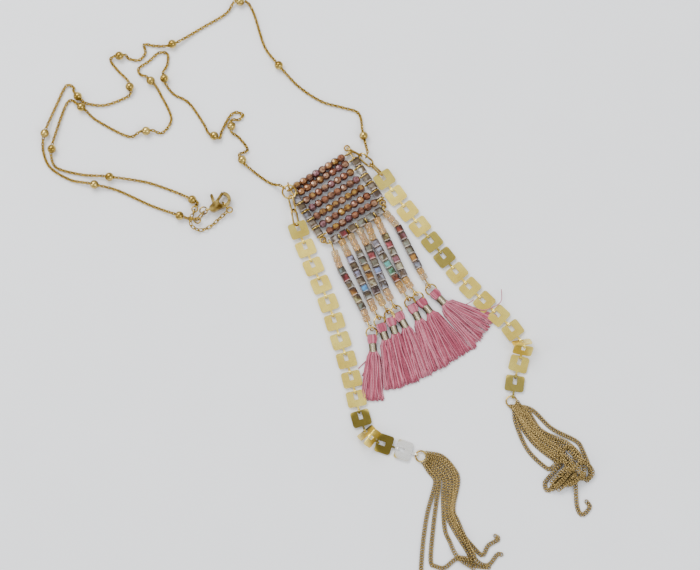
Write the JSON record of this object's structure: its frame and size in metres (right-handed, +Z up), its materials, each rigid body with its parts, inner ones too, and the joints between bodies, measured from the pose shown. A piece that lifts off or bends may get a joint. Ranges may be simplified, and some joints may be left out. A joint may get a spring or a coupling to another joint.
{
  "type": "tassel necklace",
  "caption": "Long necklace lying flat: beaded panel with bead strands and thread tassels, plate chains with chain tassels, fine neck chain and sprung lobster clasp.",
  "frame": {"origin": "middle of the whole necklace in plan, on the surface it lies on", "axes": "+Z up from the surface, +Y towards the neck chain's far end, +X to the right of the layout"},
  "size_m": [0.2206, 0.2363, 0.0092],
  "materials": {
    "rondelle_glass": "faceted, coated, glossy",
    "cube_glass": "coated glass, glossy, each cube of its own colour",
    "gold_wire": "gold plated, polished",
    "gold_chain": "gold plated, satin",
    "gold_ball": "gold plated, polished",
    "plate_brass": "pale gold, polished",
    "clasp_gold": "gold plated, polished",
    "rose_thread": "silky embroidery thread",
    "band_thread": "wound metallic thread"
  },
  "bodies": {
    "necklace": {"bead_row_1": "rondelle_glass", "bead_row_2": "rondelle_glass", "bead_row_3": "rondelle_glass", "bead_row_4": "rondelle_glass", "bead_row_5": "rondelle_glass", "bead_row_6": "rondelle_glass", "bead_row_7": "rondelle_glass", "row_wires": "gold_wire", "bar_wires": "gold_wire", "left_bar_cubes": "cube_glass", "right_bar_cubes": "cube_glass", "bottom_bar_cubes": "cube_glass", "strand_1_cubes": "cube_glass", "strand_2_cubes": "cube_glass", "strand_3_cubes": "cube_glass", "strand_4_cubes": "cube_glass", "strand_5_cubes": "cube_glass", "strand_6_cubes": "cube_glass", "strand_7_cubes": "cube_glass", "strand_1_wire": "gold_wire", "strand_2_wire": "gold_wire", "strand_3_wire": "gold_wire", "strand_4_wire": "gold_wire", "strand_5_wire": "gold_wire", "strand_6_wire": "gold_wire", "strand_7_wire": "gold_wire", "tassel_rings": "gold_wire", "tassel_1": "rose_thread", "tassel_2": "rose_thread", "tassel_3": "rose_thread", "tassel_4": "rose_thread", "tassel_5": "rose_thread", "tassel_6": "rose_thread", "tassel_7": "rose_thread", "band_1": "band_thread", "band_2": "band_thread", "band_3": "band_thread", "band_4": "band_thread", "band_5": "band_thread", "band_6": "band_thread", "band_7": "band_thread", "left_ring": "gold_wire", "left_links": "gold_wire", "right_links": "gold_wire", "left_plates": "plate_brass", "right_plates": "plate_brass", "left_end_ring": "gold_wire", "right_end_ring": "gold_wire", "left_chain_tassel": "gold_chain", "right_chain_tassel": "gold_chain", "outer_chain": "gold_chain", "inner_chain": "gold_chain", "outer_balls": "gold_ball", "inner_balls": "gold_ball", "extender_chain": "gold_chain", "clasp_body": "clasp_gold", "clasp_rings": "clasp_gold"},
    "clasp_lever": {"clasp_lever": "clasp_gold"}
  },
  "joints": [
    {"name": "clasp_lever_hinge", "type": "hinge", "parent": "necklace", "child": "clasp_lever", "pos_m": [-0.03949, 0.03119, 0.0021], "axis": [0, 0, -1], "range_deg": [0, 15], "stiffness_Nm_per_rad": 0.005, "springref_deg": -11.46}
  ]
}
